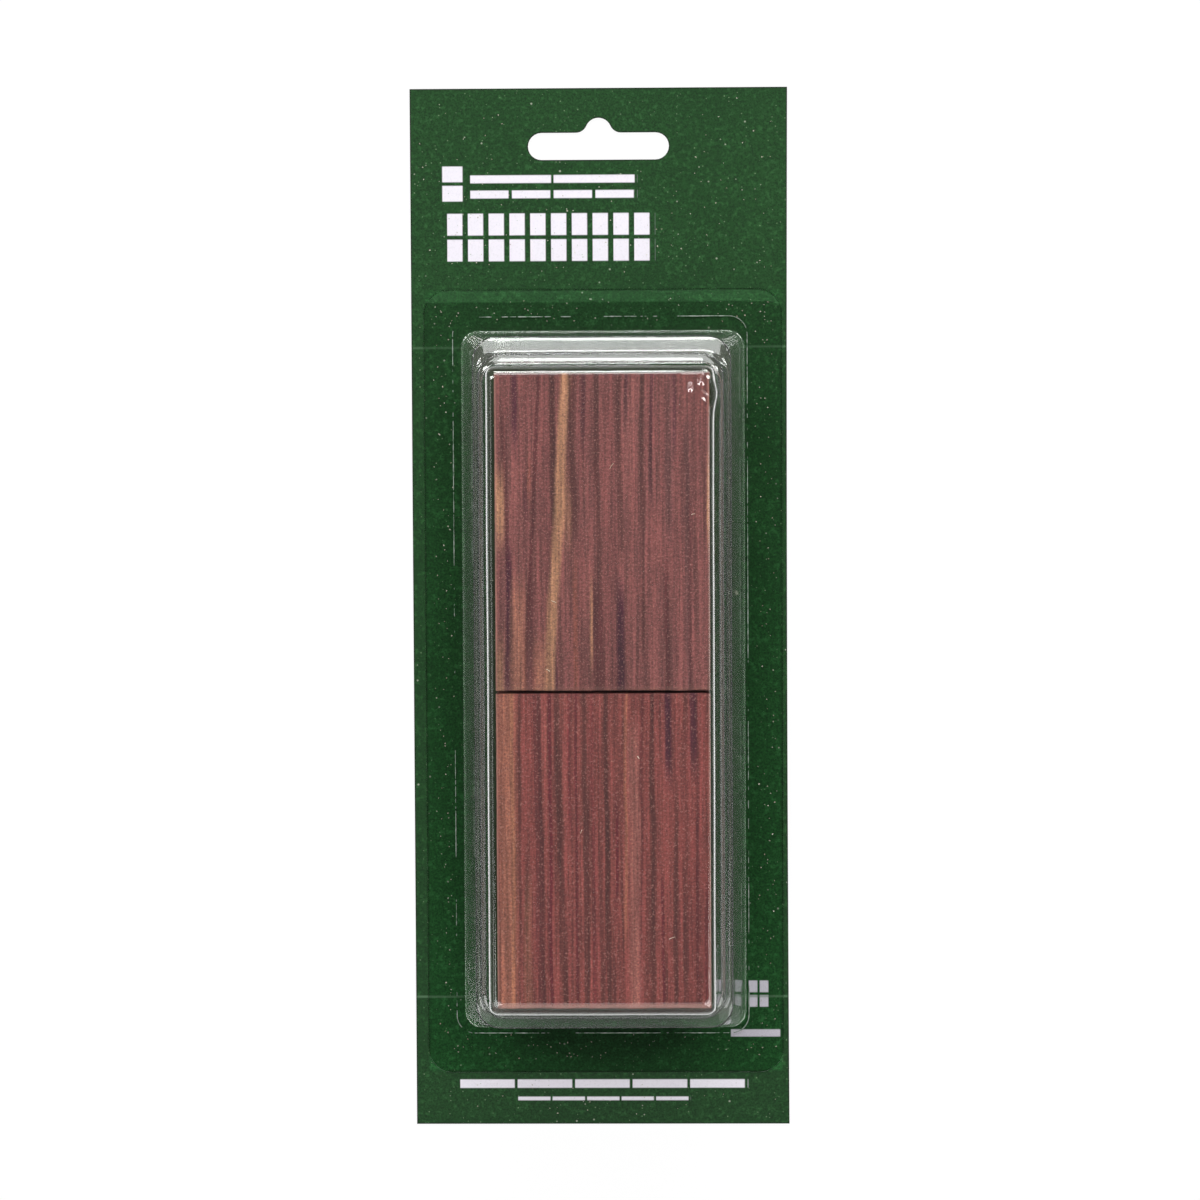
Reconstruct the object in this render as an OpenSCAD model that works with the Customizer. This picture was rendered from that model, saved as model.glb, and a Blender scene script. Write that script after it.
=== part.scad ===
// Carded pack of four cedar blocks under a clear stepped blister.
// The pack lies on the card's back. X runs across the card, Y towards its hanging end, Z out of its face.
// The origin is the middle of the card's back.

/* [Card] */
// Width of the card
card_w = 92; // [86:1:120]
// Length of the card, from its foot to its hanging end
card_l = 254.5; // [235:0.5:300]
// Thickness of the board
card_t = 0.6; // [0.3:0.1:1.5]

/* [Hang slot] */
// Width of the slot, over its round ends
slot_w = 34.4; // [28:0.2:45]
// Height of the slot's bar
slot_h = 6.6; // [5:0.2:9]
// Height of the hump above the bar
hump_h = 3.6; // [2.5:0.1:5]
// Radius of the hump's crown
hump_r = 3.2; // [2:0.1:4]
// Radius where the hump runs into the bar
hump_fillet = 2.8; // [1:0.1:4]
// Board left between the hump and the card's end
slot_margin = 7.2; // [4:0.1:12]

/* [Cedar blocks] */
// Width of a block
block_w = 50.8; // [44:0.1:52]
// Length of a block, along the grain
block_l = 75.3; // [60:0.1:78]
// Thickness of a block
block_t = 19; // [15:0.1:22]
// Bevel along a block's four long edges
block_bevel = 0.4; // [0.1:0.1:1.5]
// Gap between the blocks where their ends meet
block_gap = 0.4; // [0.2:0.1:1]

/* [Blister] */
// Thickness of the clear sheet
sheet_t = 0.4; // [0.2:0.05:0.6]
// Air between the blocks and the inside of the blister's face
face_gap = 0.4; // [0.2:0.1:2]
// Slack between the blocks and the top tier's wall, each side
side_slack = 2.2; // [1.6:0.1:3]
// Slack between the blocks and the top tier's wall, each end
end_slack = 1.15; // [1:0.05:3]
// Slope of the walls, in degrees
wall_draft = 8.2; // [4:0.1:10]
// Width of a ledge across the pack's ends
end_ledge = 1.5; // [0.4:0.1:3]
// Width of a ledge along the pack's sides
side_ledge = 0.5; // [0.2:0.1:1]
// Roundness of the blister's top edge
face_round = 1.2; // [0.6:0.1:1.5]
// Corner radius of the walls where they meet the flange
wall_corner = 4; // [3:0.1:8]
// Corner radius of the face
face_corner = 3; // [1.5:0.1:5]
// Least air between a block's corner and the rounded corner of the face
corner_gap = 0.3; // [0.1:0.1:0.5]
// Width of the flange along the sides
flange_side = 9.4; // [4:0.1:10.4]
// Width of the flange at the hanging end
flange_head = 10.4; // [5:0.1:16]
// Width of the flange at the foot
flange_foot = 11.5; // [5:0.1:16]
// Corner radius of the flange
flange_corner = 6; // [2:0.1:10]
// Card left bare below the flange
foot_margin = 12.9; // [8:0.1:20]
// How far the blister sits to the right of the card's middle
blister_shift = 0.8; // [-1.5:0.1:1.5]
// How far the blocks lie to the right of the blister's middle
block_shift = 0.5; // [-0.6:0.1:0.6]

/* [Hidden] */

// Two layers of blocks stand on the card's face under three tiers of wall
layers = 2;
tiers = 3;
stack_l = 2 * block_l + block_gap;
stack_h = layers * block_t;
face_z = stack_h + face_gap + sheet_t;
tier_h = (face_z - sheet_t - face_round) / tiers;
tier_in = tier_h * tan(wall_draft);

// Outside of the tiers' walls at the face, then at the flange
face_half_w = block_w / 2 + side_slack + sheet_t;
face_half_l = stack_l / 2 + end_slack + sheet_t;
wall_half_w = face_half_w + tiers * tier_in + (tiers - 1) * side_ledge;
wall_half_l = face_half_l + tiers * tier_in + (tiers - 1) * end_ledge;

// Largest corner of the face that still clears the blocks' square corners
slack = (side_slack - abs(block_shift) + end_slack) / 2 - face_round / 4;
corner_limit = (sqrt(2) * slack - corner_gap) / (sqrt(2) - 1);
face_r = max(sheet_t, min(face_corner, corner_limit));

// Middle of the blister and of the stack of blocks
pack_x = blister_shift;
pack_y = -card_l / 2 + foot_margin + flange_foot + wall_half_l;

// Points on one rounded corner, and steps round the blister's top edge
corner_steps = 8;
round_steps = 4;
// Length by which a cut runs past the face that it opens
past = 1;

// Rounded rectangle of half sizes hw by hl about [0, 0], at height z
function ring(hw, hl, r, z) = [
    for (q = [0:3])
        let (sx = (q == 0 || q == 3) ? 1 : -1)
        let (sy = (q < 2) ? 1 : -1)
        for (i = [0:corner_steps])
            let (a = 90 * (q + i / corner_steps))
            [sx * (hw - r) + r * cos(a), sy * (hl - r) + r * sin(a), z]
];

// Outline of the walls, set in by side and end from the flange's root, at height z
function wall_ring(side, end, z) =
    let (t = z / face_z)
    ring(wall_half_w - side, wall_half_l - end, wall_corner + (face_r - wall_corner) * t, z);

// How far the walls stand in, after whole tiers and ledges and a share of the next tier's height
function side_in(tier, ledges, share) = (tier + share) * tier_in + ledges * side_ledge;
function end_in(tier, ledges, share) = (tier + share) * tier_in + ledges * end_ledge;

// The inside is the outside set in and down by the sheet's thickness, so one list serves both
function tier_rings(t) = concat(
    [for (k = [0:tiers - 1], top = [0, 1])
        wall_ring(side_in(k, k, top) + t, end_in(k, k, top) + t, sheet_t + (k + top) * tier_h - t)],
    [for (i = [1:round_steps])
        let (a = 90 * i / round_steps)
        let (in = face_round * (1 - cos(a)))
        wall_ring(
            side_in(tiers, tiers - 1, 0) + in + t,
            end_in(tiers, tiers - 1, 0) + in + t,
            sheet_t + tiers * tier_h + face_round * sin(a) - t
        )]
);

// The flange's edge, whose head and foot may differ in width
function flange_ring(z) =
    let (hl = wall_half_l + (flange_head + flange_foot) / 2)
    [for (p = ring(wall_half_w + flange_side, hl, flange_corner, z))
        p + [0, (flange_head - flange_foot) / 2, 0]];

function reversed(v) = [for (i = [len(v) - 1:-1:0]) v[i]];

// Closed skin through a list of rings that all have as many points, with a flat cap at each end
module skin(rings) {
    n = len(rings[0]);
    m = len(rings);
    points = [for (r = rings) each r];
    walls = [
        for (j = [0:m - 2], i = [0:n - 1])
            let (a = j * n + i)
            let (b = j * n + (i + 1) % n)
            each [[a, a + n, b], [b, a + n, b + n]]
    ];
    caps = [
        for (i = [1:n - 2])
            each [[0, i, i + 1], [(m - 1) * n, (m - 1) * n + i + 1, (m - 1) * n + i]]
    ];
    polyhedron(points = points, faces = concat(walls, caps), convexity = 8);
}

// Hang slot: a bar with round ends and a hump, joined by fillets, about the bar's middle
module slot_outline() {
    bar_top = slot_h / 2;
    crown_y = bar_top + hump_h - hump_r;
    rise = bar_top + hump_fillet - crown_y;
    reach = hump_r + hump_fillet;
    run = sqrt(reach * reach - rise * rise);
    touch = [hump_r * run / reach, crown_y + hump_r * rise / reach];
    square([slot_w - slot_h, slot_h], center = true);
    for (s = [-1, 1])
        translate([s * (slot_w - slot_h) / 2, 0])
            circle(r = slot_h / 2, $fn = 48);
    translate([0, crown_y])
        circle(r = hump_r, $fn = 48);
    difference() {
        polygon([[-run, 0], [run, 0], [run, bar_top], touch, [-touch[0], touch[1]], [-run, bar_top]]);
        for (s = [-1, 1])
            translate([s * run, bar_top + hump_fillet])
                circle(r = hump_fillet, $fn = 48);
    }
}

module card() {
    slot_y = card_l / 2 - slot_margin - hump_h - slot_h / 2;
    color([0.13, 0.27, 0.15])
        difference() {
            translate([-card_w / 2, -card_l / 2, 0])
                cube([card_w, card_l, card_t]);
            translate([0, slot_y, -past])
                linear_extrude(height = card_t + 2 * past)
                    slot_outline();
        }
}

module blister() {
    color([0.82, 0.88, 0.86, 0.35])
        translate([pack_x, pack_y, card_t])
            skin(concat(
                reversed(tier_rings(sheet_t)),
                [flange_ring(0), flange_ring(sheet_t)],
                tier_rings(0)
            ));
}

// One block, grain along Y, with its long edges bevelled
module block() {
    hw = block_w / 2;
    c = block_bevel;
    translate([0, block_l / 2, 0])
        rotate([90, 0, 0])
            linear_extrude(height = block_l)
                polygon([
                    [-hw + c, 0], [hw - c, 0], [hw, c], [hw, block_t - c],
                    [hw - c, block_t], [-hw + c, block_t], [-hw, block_t - c], [-hw, c]
                ]);
}

// A block in its place: end is 1 at the hanging end and -1 at the foot, layer counts from the card
module placed_block(end, layer) {
    translate([
        pack_x + block_shift,
        pack_y + end * (block_l + block_gap) / 2,
        card_t + layer * block_t
    ])
        block();
}

module block_front_upper() {
    color([0.53, 0.37, 0.34]) placed_block(1, 1);
}

module block_front_lower() {
    color([0.48, 0.29, 0.26]) placed_block(-1, 1);
}

module block_back_upper() {
    color([0.55, 0.38, 0.32]) placed_block(1, 0);
}

module block_back_lower() {
    color([0.50, 0.33, 0.28]) placed_block(-1, 0);
}

card();
blister();
block_front_upper();
block_front_lower();
block_back_upper();
block_back_lower();
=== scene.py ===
import math

import bmesh
import bpy
from mathutils import Matrix, Vector, geometry, noise


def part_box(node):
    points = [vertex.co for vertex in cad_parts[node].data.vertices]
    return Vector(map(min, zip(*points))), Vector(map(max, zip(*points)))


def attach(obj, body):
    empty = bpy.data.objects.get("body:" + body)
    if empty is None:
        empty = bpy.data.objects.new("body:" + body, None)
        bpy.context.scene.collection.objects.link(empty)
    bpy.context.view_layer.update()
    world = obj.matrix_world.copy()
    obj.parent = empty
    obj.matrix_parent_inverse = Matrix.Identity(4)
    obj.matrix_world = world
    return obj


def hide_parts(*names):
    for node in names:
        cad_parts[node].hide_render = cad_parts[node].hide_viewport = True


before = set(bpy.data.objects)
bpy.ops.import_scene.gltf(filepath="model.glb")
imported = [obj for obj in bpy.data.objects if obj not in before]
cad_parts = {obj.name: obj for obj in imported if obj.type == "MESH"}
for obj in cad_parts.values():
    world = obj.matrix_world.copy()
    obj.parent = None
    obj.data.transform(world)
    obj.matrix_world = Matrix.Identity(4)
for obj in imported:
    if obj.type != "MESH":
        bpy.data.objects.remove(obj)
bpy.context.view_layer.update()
scene = bpy.context.scene
mm = 0.001


# Colours are given as a picture editor shows them
def srgb(r, g, b):
    def linear(c):
        c = c / 255
        return c / 12.92 if c <= 0.04045 else ((c + 0.055) / 1.055) ** 2.4
    return (linear(r), linear(g), linear(b), 1.0)


# Helpers for node trees: a value that is a socket is linked, any other is set
def feed(tree, socket, value):
    if isinstance(value, bpy.types.NodeSocket):
        tree.links.new(value, socket)
    else:
        socket.default_value = value


def put(tree, kind, inputs=None, **settings):
    node = tree.nodes.new(kind)
    for name, value in settings.items():
        setattr(node, name, value)
    for name, value in (inputs or {}).items():
        feed(tree, node.inputs[name], value)
    return node


def calc(tree, operation, *values, clamp=False):
    node = put(tree, "ShaderNodeMath", operation=operation, use_clamp=clamp)
    for socket, value in zip(node.inputs, values):
        feed(tree, socket, value)
    return node.outputs[0]


def times(tree, first, second):
    return calc(tree, "MULTIPLY", first, second)


def plus(tree, first, second, clamp=False):
    return calc(tree, "ADD", first, second, clamp=clamp)


def minus(tree, first, second):
    return calc(tree, "SUBTRACT", first, second)


def absolute(tree, value):
    return calc(tree, "ABSOLUTE", value)


def vectorCalc(tree, operation, *values):
    node = put(tree, "ShaderNodeVectorMath", operation=operation)
    for socket, value in zip(node.inputs, values):
        feed(tree, socket, value)
    return node.outputs["Value" if operation == "LENGTH" else "Vector"]


def scaled(tree, vector, factor):
    node = put(tree, "ShaderNodeVectorMath", {"Vector": vector, "Scale": factor}, operation="SCALE")
    return node.outputs["Vector"]


def spread(tree, value, low, high, toLow=0.0, toHigh=1.0, smooth=False):
    kind = "SMOOTHSTEP" if smooth else "LINEAR"
    inputs = {"Value": value, "From Min": low, "From Max": high, "To Min": toLow, "To Max": toHigh}
    return put(tree, "ShaderNodeMapRange", inputs, interpolation_type=kind).outputs["Result"]


def blendColour(tree, factor, first, second, mode="MIX"):
    node = put(tree, "ShaderNodeMix", data_type="RGBA", blend_type=mode)
    for index, value in ((0, factor), (6, first), (7, second)):
        feed(tree, node.inputs[index], value)
    return node.outputs[2]


def noiseAt(tree, vector, scale=1.0, detail=2.0, roughness=0.5):
    inputs = {"Vector": vector, "Scale": scale, "Detail": detail, "Roughness": roughness}
    return put(tree, "ShaderNodeTexNoise", inputs).outputs[0]


# Noise on coordinates that are scaled by their own amount along each axis
def grainAt(tree, vector, size, detail=2.0, roughness=0.5, shift=(0, 0, 0)):
    stretched = vectorCalc(tree, "MULTIPLY_ADD", vector, size, shift)
    return noiseAt(tree, stretched, 1.0, detail, roughness)


def splitXYZ(tree, vector):
    return put(tree, "ShaderNodeSeparateXYZ", {0: vector}).outputs


def allAxes(tree, value):
    return put(tree, "ShaderNodeCombineXYZ", {0: value, 1: value, 2: value}).outputs[0]


def tinted(tree, colour, mask, strength, tint):
    return blendColour(tree, times(tree, mask, strength), colour, tint)


# A group's inputs are given by name, each with a plain default or else its type. Shader groups give values.
def newGroup(name, inputs, outputs, kind="ShaderNodeTree"):
    tree = bpy.data.node_groups.new(name, kind)
    for label, value in inputs.items():
        socketType = {float: "Float", int: "Int"}.get(type(value), value)
        socket = tree.interface.new_socket(label, in_out="INPUT", socket_type="NodeSocket" + socketType)
        if socketType != value:
            socket.default_value = value
    for label in outputs:
        socketType = "Geometry" if label == "Geometry" else "Float"
        tree.interface.new_socket(label, in_out="OUTPUT", socket_type="NodeSocket" + socketType)
    return tree, tree.nodes.new("NodeGroupInput").outputs, tree.nodes.new("NodeGroupOutput").inputs


def useGroup(tree, group, inputs):
    node = put(tree, "ShaderNodeGroup", node_tree=group)
    for name, value in inputs.items():
        feed(tree, node.inputs[name], value)
    return node.outputs


def newMaterial(name):
    material = bpy.data.materials.new(name)
    material.use_nodes = True
    tree = material.node_tree
    shader = next(n for n in tree.nodes if n.type == "BSDF_PRINCIPLED")
    return material, tree, shader


def paint(tree, shader, colour, roughness):
    feed(tree, shader.inputs["Base Color"], colour)
    feed(tree, shader.inputs["Roughness"], roughness)


def emboss(tree, shader, strength, distance, height):
    bump = put(tree, "ShaderNodeBump", {"Strength": strength, "Distance": distance, "Height": height})
    tree.links.new(bump.outputs[0], shader.inputs["Normal"])


# Object coordinates in millimetres, about a place given in metres
def millimetresFrom(tree, place=(0, 0, 0)):
    coordinates = put(tree, "ShaderNodeTexCoord").outputs["Object"]
    moved = vectorCalc(tree, "SUBTRACT", coordinates, tuple(place))
    return scaled(tree, moved, 1 / mm)


def newPiece(name, mesh, body, nodes=()):
    piece = bpy.data.objects.new(name, mesh)
    scene.collection.objects.link(piece)
    if nodes:
        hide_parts(*nodes)
    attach(piece, body)
    return piece


# Every geometry tree ends in real geometry with its material
def deliver(tree, out, geometry, material):
    real = put(tree, "GeometryNodeRealizeInstances", {"Geometry": geometry})
    dressed = put(tree, "GeometryNodeSetMaterial", {"Geometry": real.outputs[0], "Material": material})
    feed(tree, out["Geometry"], dressed.outputs[0])


# Runs a geometry tree on a mesh and returns the finished plain mesh
def grown(tree, values, mesh=None):
    worker = bpy.data.objects.new("worker", mesh or bpy.data.meshes.new("worker"))
    scene.collection.objects.link(worker)
    modifier = worker.modifiers.new("tree", "NODES")
    modifier.node_group = tree
    for item in tree.interface.items_tree:
        if item.item_type == "SOCKET" and item.in_out == "INPUT" and item.name in values:
            modifier[item.identifier] = values[item.name]
    ready = worker.evaluated_get(bpy.context.evaluated_depsgraph_get())
    result = bpy.data.meshes.new_from_object(ready)
    bpy.data.objects.remove(worker)
    return result


# Camera, as far off and at the angle that the photograph was taken from
cameraView = {
    "place": (23.2, 58.5, 1029.2),   # millimetres
    "aim": (-0.15, 2.3, 0.6),
    "rollDegrees": 0.28,
    "lens": 126.0,
    "sensor": 36.0,
}


def makeCamera(view):
    camera = bpy.data.objects.new("camera", bpy.data.cameras.new("camera"))
    scene.collection.objects.link(camera)
    place = Vector(view["place"]) * mm
    back = (place - Vector(view["aim"]) * mm).normalized()
    roll = math.radians(view["rollDegrees"])
    across = Vector((math.sin(roll), math.cos(roll), 0)).cross(back).normalized()
    up = back.cross(across)
    turn = Matrix((across, up, back)).transposed().to_4x4()
    camera.matrix_world = Matrix.Translation(place) @ turn
    camera.data.lens = view["lens"]
    camera.data.sensor_width = view["sensor"]
    camera.data.clip_start = 0.01
    camera.data.clip_end = 20
    scene.camera = camera


makeCamera(cameraView)
print("camera set")


# Studio: a white floor, a room that is dark overhead with a pale panel at the foot, and soft boxes
studio = {
    "floorSize": 6.0,
    "floorDrop": 0.1 * mm,
    "floorGlow": 0.94,         # share of the floor that shows as plain white
    "roomLevels": (0.22, 0.03),
    "roomHeights": (0.86, 0.965),   # between these the room darkens, as sines of the elevation
    "footPanel": 0.85,
    "footBegin": (0.205, 0.235),    # how far towards the foot the panel fades in, and out
    "footEnd": (0.72, 0.78),
    "footEdge": (0.32, 0.42),       # how far to each side it fades out
    "lamps": [
        # name, place, width, height, power
        ("headBox", (0.03, 0.74, 0.70), 0.60, 0.40, 3.2),
        ("headStrip", (0.03, 0.80, 0.50), 0.52, 0.15, 3.2),
        ("leftBox", (-0.72, 0.08, 0.74), 0.9, 0.26, 1.0),
        ("rightBox", (0.72, 0.08, 0.74), 0.9, 0.26, 1.0),
        ("headLeftBox", (-0.42, 0.42, 0.98), 0.26, 0.26, 2.9),
        ("headRightBox", (0.42, 0.42, 0.98), 0.26, 0.26, 2.9),
        ("footLeftBox", (-0.40, -0.50, 0.98), 0.5, 0.5, 2.5),
        ("footRightBox", (0.40, -0.50, 0.98), 0.5, 0.5, 2.5),
    ],
}


def makeStudio(settings):
    half = settings["floorSize"] / 2
    mesh = bpy.data.meshes.new("floor")
    z = -settings["floorDrop"]
    corners = [(-half, -half, z), (half, -half, z), (half, half, z), (-half, half, z)]
    mesh.from_pydata(corners, [], [(0, 1, 2, 3)])
    floor = bpy.data.objects.new("floor", mesh)
    scene.collection.objects.link(floor)

    material, tree, shader = newMaterial("studioFloor")
    output = next(n for n in tree.nodes if n.type == "OUTPUT_MATERIAL")
    grain = noiseAt(tree, put(tree, "ShaderNodeTexCoord").outputs["Object"], 40.0)
    paint(tree, shader, blendColour(tree, grain, srgb(236, 236, 236), srgb(243, 243, 243)), 0.9)
    shader.inputs["Specular IOR Level"].default_value = 0.1
    glow = put(tree, "ShaderNodeEmission", {"Color": (1, 1, 1, 1), "Strength": 1.0})
    path = put(tree, "ShaderNodeLightPath").outputs
    seen = calc(tree, "MAXIMUM", path["Is Camera Ray"], path["Is Glossy Ray"])
    seen = calc(tree, "MAXIMUM", seen, path["Is Transmission Ray"])
    share = times(tree, seen, settings["floorGlow"])
    mix = put(tree, "ShaderNodeMixShader", {0: share, 1: shader.outputs[0], 2: glow.outputs[0]})
    tree.links.new(mix.outputs[0], output.inputs["Surface"])
    mesh.materials.append(material)

    world = bpy.data.worlds.new("room")
    world.use_nodes = True
    scene.world = world
    tree = world.node_tree
    background = next(n for n in tree.nodes if n.type == "BACKGROUND")
    direction = put(tree, "ShaderNodeTexCoord").outputs["Generated"]
    sides = splitXYZ(tree, direction)
    level = spread(tree, sides["Z"], *settings["roomHeights"], *settings["roomLevels"])
    towardsFoot = times(tree, sides["Y"], -1.0)
    panel = spread(tree, towardsFoot, *settings["footBegin"], 0.0, 1.0, True)
    low = spread(tree, towardsFoot, *settings["footEnd"], 1.0, 0.0, True)
    panel = times(tree, panel, low)
    acrossPanel = absolute(tree, sides["X"])
    edge = spread(tree, acrossPanel, *settings["footEdge"], 1.0, 0.0, True)
    panel = times(tree, times(tree, panel, edge), settings["footPanel"])
    level = calc(tree, "MAXIMUM", level, panel)
    camera = put(tree, "ShaderNodeLightPath").outputs["Is Camera Ray"]
    level = calc(tree, "MAXIMUM", level, camera)
    tree.links.new(level, background.inputs["Strength"])
    background.inputs["Color"].default_value = (1, 1, 1, 1)

    for name, place, width, height, power in settings["lamps"]:
        lamp = bpy.data.lights.new(name, "AREA")
        lamp.shape = "RECTANGLE"
        lamp.size = width
        lamp.size_y = height
        lamp.energy = power
        box = bpy.data.objects.new(name, lamp)
        box.location = place
        box.rotation_mode = "QUATERNION"
        box.rotation_quaternion = Vector(place).to_track_quat("Z", "Y")
        scene.collection.objects.link(box)
    scene.view_settings.view_transform = "Standard"


makeStudio(studio)
print("studio set")


# Cedar: growth rings, fibres and listed streaks, in a block's own millimetres

# Rings run across X, lean with Y and bend with Z. Late is the dark edge of each ring.
def makeRingGroup():
    inputs = {"Vector": "Vector", "Spacing": 5.0, "Lean": 0.0, "Wander": 1.0, "Bend": 0.02, "Seed": 0.0}
    tree, given, out = newGroup("cedarRings", inputs, ["Late"])
    parts = splitXYZ(tree, given["Vector"])
    seeded = vectorCalc(tree, "ADD", given["Vector"], scaled(tree, (13.7, 5.1, 9.3), given["Seed"]))
    drift = grainAt(tree, seeded, (0.02, 0.012, 0.02), 2.0)
    drift = times(tree, minus(tree, drift, 0.5), times(tree, given["Wander"], 6.0))
    ripple = grainAt(tree, seeded, (0.25, 0.05, 0.1), 3.0)
    ripple = times(tree, minus(tree, ripple, 0.5), given["Wander"])
    lean = times(tree, parts["Y"], given["Lean"])
    bend = times(tree, times(tree, parts["Z"], parts["Z"]), given["Bend"])
    across = plus(tree, plus(tree, parts["X"], drift), plus(tree, lean, ripple))
    across = plus(tree, across, bend)
    inputs = {"W": across, "Scale": 0.11, "Detail": 1.0}
    uneven = put(tree, "ShaderNodeTexNoise", inputs, noise_dimensions="1D")
    turns = calc(tree, "DIVIDE", across, given["Spacing"])
    turns = plus(tree, turns, times(tree, uneven.outputs[0], 1.6))
    turns = plus(tree, turns, given["Seed"])
    phase = calc(tree, "FRACT", turns)
    late = calc(tree, "POWER", phase, 3.0)
    snap = spread(tree, phase, 0.96, 1.0, 1.0, 0.0)
    feed(tree, out["Late"], times(tree, late, snap))
    return tree


# One streak of another colour that runs along the grain, from its place at the head to that at the foot
def makeStreakGroup():
    inputs = {
        "Vector": "Vector", "Head X": 0.0, "Foot X": 0.0, "Width": 1.0,
        "From Y": -40.0, "To Y": 40.0, "Length": 75.0,
    }
    tree, given, out = newGroup("cedarStreak", inputs, ["Mask"])
    parts = splitXYZ(tree, given["Vector"])
    share = plus(tree, calc(tree, "DIVIDE", parts["Y"], given["Length"]), 0.5, clamp=True)
    run = times(tree, share, minus(tree, given["Head X"], given["Foot X"]))
    middle = plus(tree, given["Foot X"], run)
    wobble = grainAt(tree, given["Vector"], (0.05, 0.05, 0.05), 3.0)
    wobble = times(tree, minus(tree, wobble, 0.5), 1.6)
    away = absolute(tree, plus(tree, minus(tree, parts["X"], middle), wobble))
    half = times(tree, given["Width"], 0.5)
    core = spread(tree, away, times(tree, half, 0.35), times(tree, half, 1.3), 1.0, 0.0, True)
    begin = spread(tree, parts["Y"], given["From Y"], plus(tree, given["From Y"], 12.0), 0.0, 1.0, True)
    end = spread(tree, parts["Y"], minus(tree, given["To Y"], 12.0), given["To Y"], 1.0, 0.0, True)
    feed(tree, out["Mask"], times(tree, core, times(tree, begin, end)))
    return tree


# Fibres drawn out along the grain, the saw's fine ripple across it, pale fuzz and dark pores
def makeFibreGroup():
    outputs = ["Fibre", "Thread", "Ripple", "Fuzz", "Pore"]
    tree, given, out = newGroup("cedarFibre", {"Vector": "Vector", "Seed": 0.0}, outputs)
    seeded = vectorCalc(tree, "ADD", given["Vector"], scaled(tree, (31.0, 17.0, 3.0), given["Seed"]))
    feed(tree, out["Fibre"], grainAt(tree, seeded, (1.5, 0.05, 1.5), 5.0, 0.7))
    feed(tree, out["Thread"], grainAt(tree, seeded, (0.8, 0.018, 0.8), 2.0, 0.6, shift=(5, 2, 9)))
    feed(tree, out["Ripple"], grainAt(tree, seeded, (1.5, 2.3, 1.5), 3.0, 0.75))
    fuzz = grainAt(tree, seeded, (2.4, 2.0, 2.4), 2.0, 0.6, shift=(3, 1, 4))
    feed(tree, out["Fuzz"], spread(tree, fuzz, 0.56, 0.68, 0.0, 1.0, True))
    pore = grainAt(tree, seeded, (2.6, 1.2, 2.6), 2.0, 0.6, shift=(7, 3, 1))
    feed(tree, out["Pore"], spread(tree, pore, 0.56, 0.68, 0.0, 1.0, True))
    return tree


ringGroup = makeRingGroup()
streakGroup = makeStreakGroup()
fibreGroup = makeFibreGroup()

tan = srgb(138, 100, 73)
gold = srgb(117, 75, 54)
straw = srgb(123, 81, 62)
rust = srgb(107, 58, 44)
pink = srgb(122, 78, 70)
slate = srgb(67, 41, 41)
dark = srgb(48, 22, 20)
maroon = srgb(54, 19, 21)
crimson = srgb(66, 15, 23)
purple = srgb(43, 12, 24)

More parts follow.
